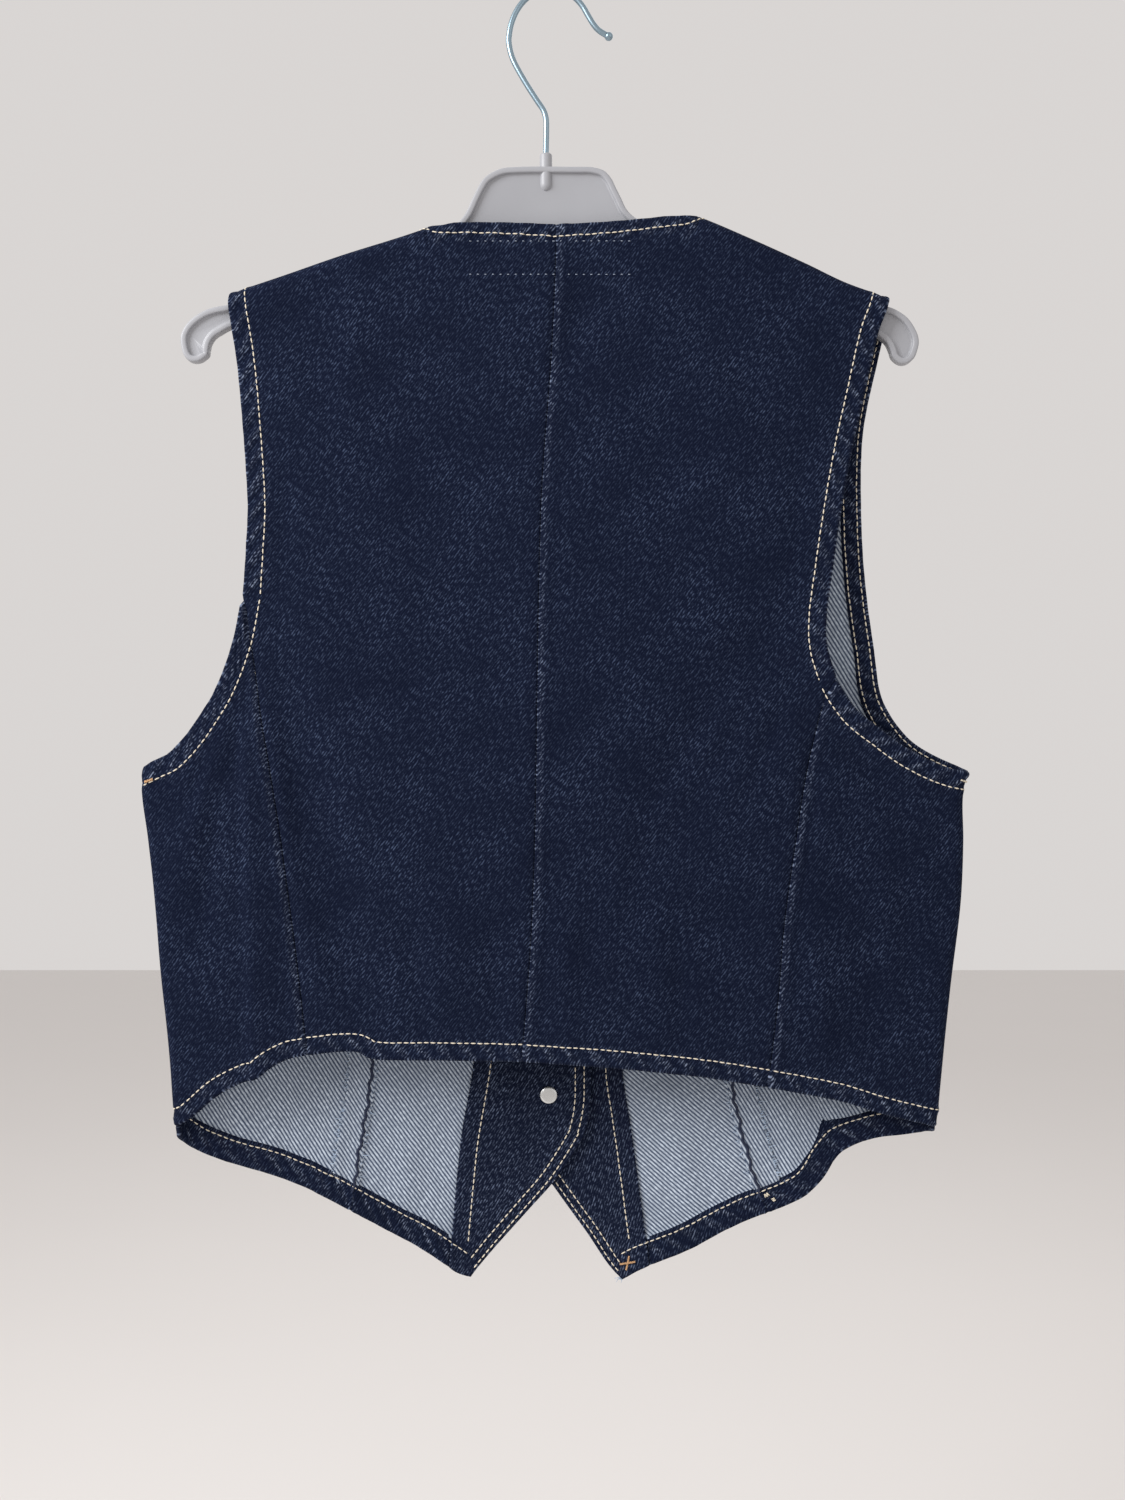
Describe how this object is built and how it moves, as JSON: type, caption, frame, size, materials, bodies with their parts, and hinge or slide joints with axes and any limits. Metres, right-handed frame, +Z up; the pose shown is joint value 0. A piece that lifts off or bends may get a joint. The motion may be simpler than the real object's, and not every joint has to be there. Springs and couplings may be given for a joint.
{
  "type": "denim vest on a hanger",
  "caption": "Fitted sleeveless denim vest with a V neck, shaped seams and pointed fronts, hung flat on a moulded hanger with a wire hook that hangs it from a rail or peg.",
  "frame": {"origin": "the inside of the top of the hanger's hook, where a rail or peg carries it", "axes": "+Z up, +Y towards the front of the vest, +X towards the wearer's right; the back faces -Y"},
  "size_m": [0.4053, 0.0416, 0.6386],
  "materials": {
    "denim": "raw indigo twill, pale on its wrong side, tan topstitching",
    "button_metal": "plain domed jeans button, antiqued",
    "tack_metal": "bright pressed tack head",
    "hanger_plastic": "moulded grey polystyrene, soft sheen",
    "hook_wire": "zinc plated steel wire, bluish"
  },
  "bodies": {
    "root": {"back_centre_left": "denim", "back_centre_right": "denim", "back_side_left": "denim", "back_side_right": "denim", "front_side_left": "denim", "front_side_right": "denim", "front_centre_left": "denim", "front_centre_right": "denim", "facing_left": "denim", "facing_right": "denim", "button_1": "button_metal", "button_2": "button_metal", "button_3": "button_metal", "button_4": "button_metal", "tack_1": "tack_metal", "tack_2": "tack_metal", "tack_3": "tack_metal", "tack_4": "tack_metal", "hanger": "hanger_plastic", "hook": "hook_wire"}
  },
  "joints": []
}
